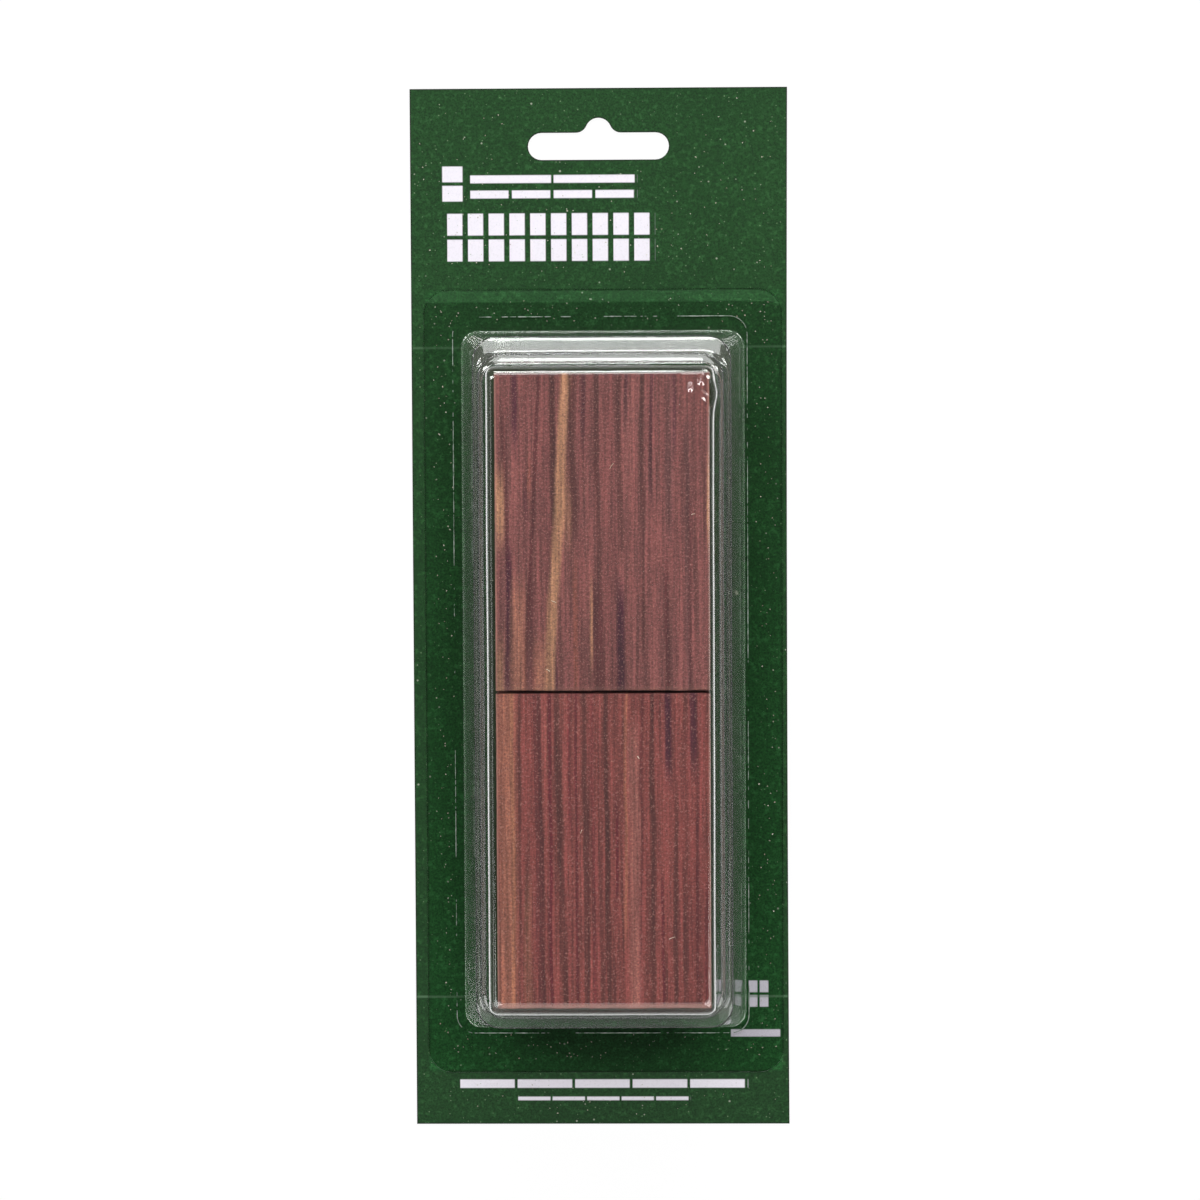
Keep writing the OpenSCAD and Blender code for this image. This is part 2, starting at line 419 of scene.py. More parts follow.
# Streaks: colour, X at the head, X at the foot, width, lowest Y, highest Y, strength
blockLooks = {
    "block_front_upper": {
        "footHighlight": 0.1, "slot": "cedar_striped",
        "pale": srgb(96, 55, 52), "middle": srgb(84, 45, 43), "dark": srgb(60, 26, 27),
        "spacing": 5.5, "lean": -0.018, "wander": 0.5, "ringStrength": 0.34,
        "fineSpacing": 1.35, "fineStrength": 0.3, "grain": 0.32, "seed": 1.0,
        "streaks": [
            (maroon, -23.6, -21.9, 1.2, -52, 36, 0.65),
            (purple, -22.6, -22.1, 1.7, -52, 3, 1.00),
            (purple, -20.7, -19.8, 1.7, 15, 52, 0.89),
            (maroon, -14.8, -18.6, 1.0, -52, 52, 0.83),
            (purple, -18.6, -17.6, 1.3, -2, 17, 0.59),
            (maroon, -17.6, -16.5, 1.7, -52, -4, 0.71),
            (dark, -11.7, -11.5, 1.7, -16, 52, 0.83),
            (purple, -11.0, -11.5, 1.3, -52, -7, 0.94),
            (tan, -8.3, -13.0, 2.7, -52, 52, 0.74),
            (tan, -10.1, -7.2, 3.3, -7, 19, 0.41),
            (dark, -7.0, -6.1, 2.0, -7, 52, 0.77),
            (rust, -6.5, -6.5, 1.3, -52, -2, 0.53),
            (purple, -4.2, -4.4, 1.3, 15, 52, 0.59),
            (dark, -1.1, -0.6, 1.3, -21, 52, 0.71),
            (maroon, -2.3, -0.6, 2.9, -52, -7, 0.77),
            (tan, -2.5, -2.8, 0.8, -37, -7, 0.59),
            (dark, 4.1, 5.0, 1.6, -11, 52, 0.71),
            (purple, 3.9, 4.5, 2.4, -52, -7, 1.00),
            (purple, 5.8, 5.5, 0.9, 22, 52, 0.71),
            (dark, 9.5, 9.5, 1.3, -7, 52, 0.59),
            (dark, 10.2, 9.7, 1.0, -35, -7, 0.77),
            (purple, 11.9, 11.0, 0.9, 3, 52, 0.71),
            (slate, 16.6, 14.5, 2.4, -7, 52, 0.47),
            (purple, 17.3, 16.9, 0.9, 12, 52, 0.65),
            (maroon, 15.2, 15.4, 1.3, -52, -2, 0.77),
            (slate, 19.9, 20.6, 1.3, -52, 31, 0.59),
            (maroon, 20.6, 20.9, 1.0, -52, 15, 0.53),
            (tan, 25.1, 25.3, 1.0, -7, 22, 0.94),
            (tan, -24.5, -24.5, 2.7, -7, 19, 0.77),
            (tan, -23.8, -24.3, 2.0, -52, -21, 0.59),
            (straw, -19.8, -20.2, 3.9, -52, -7, 0.53),
            (straw, -14.6, -14.8, 3.9, -52, -21, 0.53),
            (rust, -17.4, -17.2, 1.0, 3, 22, 0.59),
        ],
    },
    "block_front_lower": {
        "footHighlight": 0.5, "slot": "cedar_red",
        "pale": srgb(101, 50, 45), "middle": srgb(90, 41, 38), "dark": srgb(62, 22, 23),
        "spacing": 3.0, "lean": 0.0, "wander": 0.3, "ringStrength": 0.25,
        "fineSpacing": 0.95, "fineStrength": 0.45, "grain": 0.30, "seed": 4.0,
        "streaks": [
            (straw, -23.1, -22.8, 5.2, -52, 52, 0.5),
            (gold, -21.7, -21.5, 1.0, -52, 52, 0.7),
            (dark, -19.8, -20.0, 1.0, -52, 52, 0.41),
            (straw, -18.1, -18.1, 2.0, -52, -2, 0.41),
            (maroon, -16.2, -15.5, 1.0, -52, 52, 0.71),
            (maroon, -15.3, -14.6, 1.2, -52, 52, 0.77),
            (crimson, -12.7, -12.6, 1.0, -52, 52, 0.94),
            (dark, -11.0, -9.4, 1.7, -52, 52, 0.71),
            (crimson, -8.0, -8.2, 0.9, -2, 52, 0.59),
            (crimson, -6.3, -6.5, 0.8, -52, 52, 0.71),
            (dark, -4.4, -4.2, 1.7, -52, 52, 0.77),
            (crimson, -2.5, -2.3, 1.0, -52, 52, 0.47),
            (dark, 0.6, 1.3, 1.3, -52, 52, 0.89),
            (dark, -0.9, -0.4, 1.0, -52, 17, 0.47),
            (crimson, 3.2, 3.2, 0.8, -19, 19, 0.89),
            (gold, 5.5, 5.3, 0.8, -26, 52, 0.53),
            (crimson, 9.3, 8.8, 0.8, -52, 52, 0.47),
            (dark, 11.7, 11.9, 1.3, -52, 52, 0.65),
            (crimson, 13.6, 14.3, 0.9, -52, 0, 0.83),
            (purple, 15.4, 15.9, 1.9, 12, 52, 1.00),
            (dark, 17.3, 17.1, 1.3, -52, 21, 0.71),
            (dark, 19.7, 19.5, 0.9, -52, 52, 0.41),
            (purple, 21.4, 22.1, 2.1, 14, 52, 0.89),
            (maroon, 22.1, 22.5, 0.9, -52, 17, 0.83),
            (crimson, 24.9, 24.4, 0.8, -52, -2, 0.71),
            (pink, 7.4, 7.6, 2.9, -52, 35, 0.47),
        ],
    },
    "block_back_upper": {
        "footHighlight": 0.1, "slot": "cedar_striped",
        "pale": srgb(98, 55, 51), "middle": srgb(87, 45, 43), "dark": srgb(58, 24, 25),
        "spacing": 4.2, "lean": 0.02, "wander": 0.6, "ringStrength": 0.75,
        "fineSpacing": 1.2, "fineStrength": 0.35, "grain": 0.18, "seed": 9.0,
        "streaks": [
            (tan, 14.0, 18.0, 4.0, -50, 50, 0.7),
            (tan, -6.0, -4.0, 1.4, -50, 50, 0.5),
            (purple, -14.0, -12.5, 1.6, -50, 50, 0.7),
            (maroon, 4.0, 6.0, 1.0, -50, 20, 0.6),
        ],
    },
    "block_back_lower": {
        "footHighlight": 0.3, "slot": "cedar_red",
        "pale": srgb(105, 53, 46), "middle": srgb(92, 44, 39), "dark": srgb(62, 23, 23),
        "spacing": 3.6, "lean": -0.01, "wander": 0.5, "ringStrength": 0.75,
        "fineSpacing": 1.1, "fineStrength": 0.4, "grain": 0.18, "seed": 15.0,
        "streaks": [
            (tan, 21.0, 20.0, 3.0, -50, 50, 0.6),
            (crimson, 8.0, 7.0, 1.2, -50, 50, 0.6),
            (purple, -9.0, -10.0, 1.4, -50, 50, 0.6),
            (straw, -20.0, -19.0, 2.4, -50, 50, 0.5),
        ],
    },
}


# Where a block's edges begin to be painted pale as painted highlight, from its centre in millimetres
cedarEdgeHighlight = {"long": (24.75, 25.3), "foot": (-35.6, -36.3)}


def makeCedar(name, look, centre):
    material, tree, shader = newMaterial(name)
    place = millimetresFrom(tree, centre)
    rings = useGroup(tree, ringGroup, {
        "Vector": place, "Spacing": look["spacing"], "Lean": look["lean"],
        "Wander": look["wander"], "Seed": look["seed"],
    })
    fineRings = useGroup(tree, ringGroup, {
        "Vector": place, "Spacing": look["fineSpacing"], "Lean": look["lean"],
        "Wander": look["wander"] * 0.6, "Seed": look["seed"] + 2.3,
    })
    fibres = useGroup(tree, fibreGroup, {"Vector": place, "Seed": look["seed"]})

    # Bands of warmer and cooler wood, then the rings and the streaks over them
    tone = grainAt(tree, place, (0.16, 0.006, 0.08), 3.0, 0.6, shift=(look["seed"], 0, 0))
    colour = blendColour(tree, spread(tree, tone, 0.3, 0.7), look["middle"], look["pale"])
    colour = tinted(tree, colour, rings["Late"], look["ringStrength"], look["dark"])
    fine = times(tree, fineRings["Late"], look["fineStrength"])
    colour = blendColour(tree, fine, colour, look["dark"])
    for shade, headX, footX, width, lowY, highY, strength in look["streaks"]:
        mask = useGroup(tree, streakGroup, {
            "Vector": place, "Head X": headX, "Foot X": footX,
            "Width": width, "From Y": lowY, "To Y": highY,
        })["Mask"]
        ragged = plus(tree, times(tree, fibres["Fibre"], 0.8), 0.6, clamp=True)
        colour = blendColour(tree, times(tree, times(tree, mask, ragged), strength), colour, shade)

    # Fibres and the saw's ripple lighten and darken the wood, and pores and fuzz speckle it
    lines = spread(tree, fibres["Fibre"], 0.36, 0.64, 0.66, 1.26)
    lines = times(tree, lines, spread(tree, fibres["Thread"], 0.36, 0.64, 0.7, 1.24))
    mottle = spread(tree, fibres["Ripple"], 0.36, 0.64, 1.0 - look["grain"], 1.0 + look["grain"])
    shade = times(tree, lines, mottle)
    shade = put(tree, "ShaderNodeCombineColor", {0: shade, 1: shade, 2: shade}).outputs[0]
    colour = blendColour(tree, 1.0, colour, shade, "MULTIPLY")
    colour = tinted(tree, colour, fibres["Pore"], 0.5, look["dark"])
    colour = tinted(tree, colour, fibres["Fuzz"], 0.34, srgb(146, 104, 94))

    # Painted highlight: the long edges, and the edge at the foot, are painted pale where the eased edges
    # catch the light, and at the foot where the sheet's round above it shows hazy
    sides = splitXYZ(tree, place)
    edgeHighlight = spread(tree, absolute(tree, sides["X"]), *cedarEdgeHighlight["long"], 0.0, 0.65, True)
    ragged = plus(tree, sides["Y"], times(tree, fibres["Ripple"], 1.2))
    footHighlightMask = spread(tree, ragged, *cedarEdgeHighlight["foot"], 0.0, look["footHighlight"], True)
    edgeHighlight = calc(tree, "MAXIMUM", edgeHighlight, footHighlightMask)
    colour = blendColour(tree, edgeHighlight, colour, srgb(132, 96, 86))

    # The sawn ends are darker, with the ends of the fibres showing as dots
    facing = splitXYZ(tree, put(tree, "ShaderNodeTexCoord").outputs["Normal"])["Y"]
    endFace = spread(tree, absolute(tree, facing), 0.6, 0.9, 0.0, 1.0, True)
    dots = grainAt(tree, place, (4.0, 4.0, 4.0), 3.0, 0.7)
    endColour = blendColour(tree, spread(tree, dots, 0.35, 0.7), look["dark"], colour)
    colour = tinted(tree, colour, endFace, 0.7, endColour)
    paint(tree, shader, colour, spread(tree, fibres["Fibre"], 0.2, 0.8, 0.62, 0.82))
    shader.inputs["Specular IOR Level"].default_value = 0.25

    relief = plus(tree, times(tree, fibres["Fibre"], 0.5), times(tree, fibres["Fuzz"], 0.35))
    relief = plus(tree, relief, times(tree, rings["Late"], 0.4))
    relief = minus(tree, relief, times(tree, fibres["Pore"], 0.5))
    emboss(tree, shader, 0.6, 0.15 * mm, relief)
    return material


# A sawn block: a close grid whose edges are worn round and whose faces keep the saw's waves
def makeBlockTree():
    inputs = {
        "Size": "Vector", "Place": "Vector", "Cells": "Vector",
        "Edge Band": 0.5 * mm, "Edge Round": 0.3 * mm, "Face Wave": 0.05 * mm, "End Wave": 0.2 * mm,
        "Seed": 0.0, "Wood": "Material",
    }
    tree, given, out = newGroup("sawnBlock", inputs, ["Geometry"], "GeometryNodeTree")
    edgeCells, one = 3, (1, 1, 1)
    cells = splitXYZ(tree, given["Cells"])
    cube = put(tree, "GeometryNodeMeshCube", {
        "Size": given["Size"], "Vertices X": cells["X"], "Vertices Y": cells["Y"], "Vertices Z": cells["Z"],
    })
    half = scaled(tree, given["Size"], 0.5)
    spot = put(tree, "GeometryNodeInputPosition").outputs[0]
    share = vectorCalc(tree, "DIVIDE", spot, half)
    side = vectorCalc(tree, "SIGN", share)
    share = vectorCalc(tree, "ABSOLUTE", share)

    # The last few cells at each end are drawn together into the edge band
    gaps = vectorCalc(tree, "SUBTRACT", given["Cells"], one)
    narrow = vectorCalc(tree, "DIVIDE", (2.0 * edgeCells,) * 3, gaps)
    kept = vectorCalc(tree, "SUBTRACT", one, narrow)
    band = vectorCalc(tree, "DIVIDE", allAxes(tree, given["Edge Band"]), half)
    wide = vectorCalc(tree, "MULTIPLY", share, vectorCalc(tree, "SUBTRACT", one, band))
    wide = vectorCalc(tree, "DIVIDE", wide, kept)
    slope = vectorCalc(tree, "DIVIDE", band, narrow)
    close = vectorCalc(tree, "MULTIPLY", vectorCalc(tree, "SUBTRACT", one, share), slope)
    close = vectorCalc(tree, "SUBTRACT", one, close)
    spot = vectorCalc(tree, "MULTIPLY", vectorCalc(tree, "MINIMUM", wide, close), side)
    spot = vectorCalc(tree, "MULTIPLY", spot, half)

    # Edges are rounded by an uneven radius
    seeded = vectorCalc(tree, "ADD", spot, scaled(tree, (0.37, 0.11, 0.23), given["Seed"]))
    wear = noiseAt(tree, seeded, 260.0, 3.0, 0.6)
    radius = times(tree, given["Edge Round"], spread(tree, wear, 0.3, 0.7, 0.35, 1.6))
    radius = allAxes(tree, radius)
    inner = vectorCalc(tree, "SUBTRACT", half, radius)
    core = vectorCalc(tree, "MAXIMUM", vectorCalc(tree, "MINIMUM", spot, inner), scaled(tree, inner, -1.0))
    outward = vectorCalc(tree, "NORMALIZE", vectorCalc(tree, "SUBTRACT", spot, core))
    spot = vectorCalc(tree, "ADD", core, vectorCalc(tree, "MULTIPLY", outward, radius))

    # Saw waves only cut inwards: long shallow ones along the faces, rougher ones on the ends
    along = grainAt(tree, seeded, (420.0, 40.0, 420.0), 3.0)
    across = grainAt(tree, seeded, (170.0, 20.0, 700.0), 4.0, 0.6)
    direction = splitXYZ(tree, outward)["Y"]
    onEnd = absolute(tree, direction)
    depth = times(tree, along, given["Face Wave"])
    endDepth = times(tree, spread(tree, across, 0.25, 0.75), given["End Wave"])
    depth = plus(tree, depth, times(tree, minus(tree, endDepth, depth), onEnd))
    cut = scaled(tree, outward, times(tree, depth, -1.0))
    spot = vectorCalc(tree, "ADD", vectorCalc(tree, "ADD", spot, cut), given["Place"])

    moved = put(tree, "GeometryNodeSetPosition", {"Geometry": cube.outputs["Mesh"], "Position": spot})
    smooth = put(tree, "GeometryNodeSetShadeSmooth", {"Geometry": moved.outputs[0]})
    deliver(tree, out, smooth.outputs[0], given["Wood"])
    return tree


blockCut = {
    "cells": (84.0, 124.0, 34.0),
    "edgeBand": 0.8 * mm,
    "edgeRound": 0.32 * mm,
    "faceWave": 0.05 * mm,
    "endWave": 0.22 * mm,
}


def makeBlocks(cut):
    tree = makeBlockTree()
    for name, look in blockLooks.items():
        low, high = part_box(name)
        centre = (low + high) / 2
        wood = makeCedar("cedar_" + name, look, centre)
        mesh = grown(tree, {
            "Size": tuple(high - low), "Place": tuple(centre), "Cells": cut["cells"],
            "Edge Band": cut["edgeBand"], "Edge Round": cut["edgeRound"],
            "Face Wave": cut["faceWave"], "End Wave": cut["endWave"], "Seed": look["seed"], "Wood": wood,
        })
        newPiece(name + "_sawn", mesh, name, [name])
        print("cut", name, len(mesh.polygons), "faces")


makeBlocks(blockCut)


# Clear blister: a stack of rounded rings from the flange's edge to the face's middle, and back inside
blister = {
    "sheet": 0.3 * mm,
    "flangeSide": 9.4 * mm, "flangeHead": 10.4 * mm, "flangeFoot": 11.5 * mm,
    "flangeCorner": 6.0 * mm, "faceCorner": 1.9 * mm, "leastCorner": 0.3 * mm,
    # the walls' corner radius in millimetres, by share of the height
    "cornerRadii": [(0.0, 4.0), (0.3, 6.0), (0.64, 5.6), (0.88, 2.8), (1.0, 1.9)],
    "tierHeight": 12.4 * mm,
    # how far each tier's wall runs inwards in millimetres, and each ledge as three (run, slope) parts
    "side": {
        "walls": [3.1, 1.3, 2.0], "edgeRound": 0.25 * mm, "ledgeRoot": 0.2 * mm, "faceRound": 2.0 * mm,
        "ledges": [[(0.2, 0.05), (0.2, 0.1), (0.2, 0.05)]] * 2,
    },
    "end": {
        "walls": [1.05, 0.4, 0.63], "edgeRound": 0.35 * mm, "ledgeRoot": 0.15 * mm, "faceRound": 3.4 * mm,
        "ledges": [[(1.05, 0.62), (2.3, 0.34), (0.6, 0.6)], [(1.15, 0.3), (0.55, 0.8), (0.3, 0.3)]],
    },
    "rootRound": 0.35 * mm,
    "roundSteps": 6, "cornerSteps": 12, "acrossSteps": 24, "alongSteps": 66,
    "support": 0.12 * mm,      # rings close beside each round keep the flats flat
    "faceInsets": [0.5, 1.2, 2.2, 3.6, 5.4, 7.6, 10.4, 13.6, 17.2, 21.0, 24.0],
    "wallWave": 0.09 * mm, "faceWave": 0.07 * mm,
}


# Rounds each inner corner of a chain of (inset, height) points, apart from those of no radius. Gives
# points and the surface's normals.
def roundedChain(corners, radii, steps, support):
    rounds = []
    for i in range(1, len(corners) - 1):
        before = (corners[i] - corners[i - 1]).normalized()
        after = (corners[i + 1] - corners[i]).normalized()
        if radii[i] == 0:
            along = (before + after).normalized()
            rounds.append([(corners[i].copy(), Vector((-along.y, along.x)))])
            continue
        turn = math.atan2(before.x * after.y - before.y * after.x, before.dot(after))
        reach = radii[i] * math.tan(abs(turn) / 2)
        start = corners[i] - before * reach
        centre = start + Vector((-before.y, before.x)) * radii[i] * (1 if turn > 0 else -1)
        arc = []
        for k in range(steps + 1):
            spin = Matrix.Rotation(turn * k / steps, 2)
            direction = spin @ before
            arc.append((centre + spin @ (start - centre), Vector((-direction.y, direction.x))))
        rounds.append(arc)
    run = (corners[1] - corners[0]).normalized()
    chain = [(corners[0].copy(), Vector((-run.y, run.x)))]
    afterRound = False
    for arc in rounds:
        gap = arc[0][0] - chain[-1][0]
        step = gap.normalized() * min(support, gap.length * 0.33)
        if afterRound:
            chain.append((chain[-1][0] + step, chain[-1][1]))
        afterRound = len(arc) > 1
        if afterRound:
            chain.append((arc[0][0] - step, arc[0][1]))
        chain += arc
    chain.append((corners[-1].copy(), chain[-1][1]))
    return chain


def blisterChain(settings, part, flange, height):
    sheet = settings["sheet"]
    corners = [Vector((-flange, sheet)), Vector((0, sheet))]
    radii = [0, settings["rootRound"]]
    inset = 0
    for tier, ledge in enumerate(part["ledges"]):
        inset += part["walls"][tier] * mm
        top = sheet + settings["tierHeight"] * (tier + 1)
        z = top - sum(run * slope for run, slope in ledge) * mm
        corners.append(Vector((inset, z)))
        for run, slope in ledge:
            inset += run * mm
            z += run * slope * mm
            corners.append(Vector((inset, z)))
        radii += [part["edgeRound"], 0, 0, part["ledgeRoot"]]
    inset += part["walls"][-1] * mm
    corners.append(Vector((inset, height)))
    radii.append(part["faceRound"])
    corners.append(Vector((inset + part["faceRound"] * 1.1, height)))
    radii.append(0)
    return roundedChain(corners, radii, settings["roundSteps"], settings["support"])


# Points round a rounded oblong, each with its share of end (1) or side (0)
def roundedRing(halfW, halfL, radius, settings):
    points = []
    for quarter in range(4):
        signX = 1 if quarter in (0, 3) else -1
        signY = 1 if quarter < 2 else -1
        for i in range(settings["cornerSteps"] + 1):
            a = (quarter + i / settings["cornerSteps"]) * math.pi / 2
            points.append((
                signX * (halfW - radius) + radius * math.cos(a),
                signY * (halfL - radius) + radius * math.sin(a),
                math.sin(a) ** 2,
            ))
        steps = settings["acrossSteps"] if quarter % 2 == 0 else settings["alongSteps"]
        straight = 2 * ((halfW if quarter % 2 == 0 else halfL) - radius)
        onX, onY = ((-1, 0), (0, -1), (1, 0), (0, 1))[quarter]
        lastX, lastY, share = points[-1]
        for i in range(1, steps):
            part = straight * i / steps
            points.append((lastX + onX * part, lastY + onY * part, share))
    return points


# The knocked corner at the right of the blister's head, in millimetres unless marked
dents = {
    "middle": (23.2, 54.0), "area": 5.0,
    "pits": [
        # x, y, reach across, reach along, depth, turn in degrees
        (24.6, 56.1, 0.9, 1.42, 0.37, 0),
        (22.2, 54.5, 0.86, 1.38, 0.37, 0),
        (25.4, 52.2, 0.9, 2.0, 0.26, 32),
        (22.8, 50.4, 0.7, 3.2, 0.12, 6),
        (25.2, 34.4, 2.4, 0.8, 0.24, 0),
    ],
    "bulge": 0.95 * mm, "bulgeY": 53.0, "bulgeReach": 3.0,
    "bulgeFrom": 23.5, "bulgeAcross": 3.5, "bulgeDepth": 9 * mm, "bulgeFade": 8 * mm,
    "cuts": 11, "depth": 1.2 * mm,
}
# Slow waves that a formed sheet keeps
waves = {
    "scale": 0.03,              # for each millimetre
    "faceDepth": 2.5 * mm, "faceFade": 2.0 * mm, "faceSag": 0.9, "faceSway": 0.8,
    "footFlat": 1.6 * mm, "footFade": 6 * mm,
}


def clamped(share):
    return min(1, max(0, share))


# A point of the formed sheet, moved by the waves, the pits and the knocked corner's bulge
def warped(p, settings, top):
    q = p / mm
    x, y, z = (axis * waves["scale"] for axis in q)
    wave = noise.noise(Vector((x, y, z)))
    cross = noise.noise(Vector((x + 5, y + 9, z)))
    onFace = clamped((p.z - top + waves["faceDepth"]) / waves["faceFade"])
    rise = clamped((p.z - waves["footFlat"]) / waves["footFade"])
    shift = Vector((0, 0, 0))
    shift.x += rise * settings["wallWave"] * wave
    shift.y += rise * settings["wallWave"] * cross
    shift.z -= onFace * settings["faceWave"] * (waves["faceSag"] + waves["faceSway"] * wave)
    pitted = 0
    for x, y, reachX, reachY, depth, turn in dents["pits"]:
        off = Matrix.Rotation(math.radians(-turn), 2) @ Vector((q.x - x, q.y - y))
        away = (off.x / reachX) ** 2 + (off.y / reachY) ** 2
        if away < 1:
            pitted = max(pitted, depth * (1 - math.sqrt(away * 0.96 + 0.04)))
    shift.z -= onFace * pitted * mm
    right = clamped((q.x - dents["bulgeFrom"]) / dents["bulgeAcross"])
    side = math.exp(-((q.y - dents["bulgeY"]) / dents["bulgeReach"]) ** 2)
    above = clamped((p.z - top + dents["bulgeDepth"]) / dents["bulgeFade"])
    shift.x += right * side * dents["bulge"] * above
    return p + shift


# The walls' corner radius at a share of the height, drawn straight between the listed ones
def cornerAt(rise, radii):
    for (low, lowRadius), (high, highRadius) in zip(radii, radii[1:]):
        if rise <= high:
            return lowRadius + (highRadius - lowRadius) * (rise - low) / (high - low)
    return radii[-1][1]


def makeBlister(settings):
    low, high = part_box("blister")
    height = high.z - low.z
    halfW = (high.x - low.x) / 2 - settings["flangeSide"]
    halfL = (high.y - low.y - settings["flangeHead"] - settings["flangeFoot"]) / 2
    centre = Vector(((low.x + high.x) / 2, low.y + settings["flangeFoot"] + halfL, low.z))
    flangeLong = (settings["flangeHead"] + settings["flangeFoot"]) / 2
    sideChain = blisterChain(settings, settings["side"], settings["flangeSide"], height)
    endChain = blisterChain(settings, settings["end"], flangeLong, height)
    sheet = settings["sheet"]
    slide = (settings["flangeHead"] - settings["flangeFoot"]) / 2

    def ringAt(side, end, radius, share):
        points = roundedRing(halfW - side.x, halfL - end.x, radius, settings)
        rises = end.y - side.y
        return [centre + Vector((x, y + slide * share, side.y + rises * w)) for x, y, w in points]

    outer, inner = [], []
    for i, ((side, sideN), (end, endN)) in enumerate(zip(sideChain, endChain)):
        radius = cornerAt(side.y / height, settings["cornerRadii"]) * mm
        share = 0
        if i == 0:
            radius, share = settings["flangeCorner"], 1
        outer.append(ringAt(side, end, radius, share))
        within = max(settings["leastCorner"], radius + sideN.x * sheet * 0.6)
        inner.append(ringAt(side - sideN * sheet, end - endN * sheet, within, share))
    lastSide, lastEnd = sideChain[-1][0], endChain[-1][0]
    wallRings = len(outer) - settings["roundSteps"] - 2
    room = halfW - lastSide.x
    for inset in settings["faceInsets"]:
        step = inset * mm
        if step >= room - 0.2 * mm:
            continue
        radius = settings["faceCorner"] * (1 - step / room) * 0.8 + 0.05 * mm
        along = Vector((step, 0))
        outer.append(ringAt(lastSide + along, lastEnd + along, radius, 0))
        down = along - Vector((0, sheet))
        inner.append(ringAt(lastSide + down, lastEnd + down, radius, 0))

    build = bmesh.new()
    outerRings = [[build.verts.new(p) for p in ring] for ring in outer]
    innerRings = [[build.verts.new(p) for p in ring] for ring in inner]
    count = len(outerRings[0])

    def join(first, second, material, smooth=True):
        for k in range(count):
            n = (k + 1) % count
            face = build.faces.new((first[k], first[n], second[n], second[k]))
            face.smooth = smooth
            face.material_index = material

    flat, drawn, cut = 0, 1, 2
    for rings, flip in ((outerRings, False), (innerRings, True)):
        for i in range(len(rings) - 1):
            pair = (rings[i + 1], rings[i]) if flip else (rings[i], rings[i + 1])
            join(*pair, drawn if 1 <= i < wallRings else flat, i > 0)
    join(innerRings[0], outerRings[0], cut, False)
    # The face closes on a middle line, as one large polygon would split into slivers that catch the light
    spine = []
    for ring in (outerRings[-1], innerRings[-1]):
        reach = max(v.co.x for v in ring) - centre.x
        first, last = min(v.co.y for v in ring) + reach, max(v.co.y for v in ring) - reach
        line = [build.verts.new((centre.x, min(last, max(first, v.co.y)), v.co.z)) for v in ring]
        join(ring, line, flat)
        spine += line
    bmesh.ops.remove_doubles(build, verts=spine, dist=0.001 * mm)
    bmesh.ops.recalc_face_normals(build, faces=build.faces)

    # The knocked corner needs a closer mesh before it is pressed in
    middle = Vector(dents["middle"])
    near = set()
    for face in build.faces:
        spot = face.calc_center_median()
        if spot.z > high.z - dents["depth"] and (spot.xy / mm - middle).length < dents["area"]:
            near.update(face.edges)
    bmesh.ops.subdivide_edges(build, edges=list(near), cuts=dents["cuts"], use_grid_fill=True)
    for vertex in build.verts:
        vertex.co = warped(vertex.co, settings, high.z)
    bmesh.ops.triangulate(build, faces=[f for f in build.faces if len(f.verts) > 4])
    mesh = bpy.data.meshes.new("blister_sheet")
    build.to_mesh(mesh)
    build.free()
    for name, look in sheetLooks.items():
        mesh.materials.append(makeSheet(name + "Sheet", look))
    mesh.materials.append(makeCutEdge())
    newPiece("blister_sheet", mesh, "blister", ["blister"])
    print("formed blister", len(mesh.polygons), "faces")


# Clear sheet is glass that lets lamps through. Where it is drawn into walls it is a little hazy and lined.
sheetLooks = {
    "clear": {"transmission": 1.0, "lines": 0.0, "rough": (0.0, 0.02), "through": srgb(255, 255, 255)},
    "drawn": {"transmission": 0.984, "lines": 0.04, "rough": (0.05, 0.10), "through": srgb(247, 249, 247)},
}


def makeSheet(name, look):
    material, tree, shader = newMaterial(name)
    output = next(n for n in tree.nodes if n.type == "OUTPUT_MATERIAL")
    place = millimetresFrom(tree)
    shader.inputs["Transmission Weight"].default_value = look["transmission"]
    shader.inputs["IOR"].default_value = 1.5
    haze = noiseAt(tree, place, 0.08, 3.0)
    scuff = grainAt(tree, place, (0.2, 0.1, 0.2), 2.0)
    colour = blendColour(tree, haze, srgb(254, 255, 254), srgb(248, 251, 249))
    paint(tree, shader, colour, spread(tree, scuff, 0.45, 0.8, *look["rough"]))
    ripple = grainAt(tree, place, (0.12, 0.08, 0.1), 1.0)
    drawLines = grainAt(tree, place, (0.05, 0.05, 1.6), 2.0)
    height = plus(tree, ripple, times(tree, drawLines, look["lines"]))
    emboss(tree, shader, 0.2, 0.2 * mm, height)
    through = put(tree, "ShaderNodeBsdfTransparent", {"Color": look["through"]})
    shadow = put(tree, "ShaderNodeLightPath").outputs["Is Shadow Ray"]
    mix = put(tree, "ShaderNodeMixShader", {0: shadow, 1: shader.outputs[0], 2: through.outputs[0]})
    tree.links.new(mix.outputs[0], output.inputs["Surface"])
    return material


# The sheet's cut edge scatters light, so it shows as a thin pale line
def makeCutEdge():
    material, tree, shader = newMaterial("cutEdge")
    place = millimetresFrom(tree)
    nick = noiseAt(tree, place, 0.35, 3.0, 0.6)
    colour = blendColour(tree, spread(tree, nick, 0.35, 0.7), srgb(96, 126, 100), srgb(186, 200, 190))
    paint(tree, shader, colour, spread(tree, nick, 0.3, 0.7, 0.3, 0.5))
    return material


makeBlister(blister)


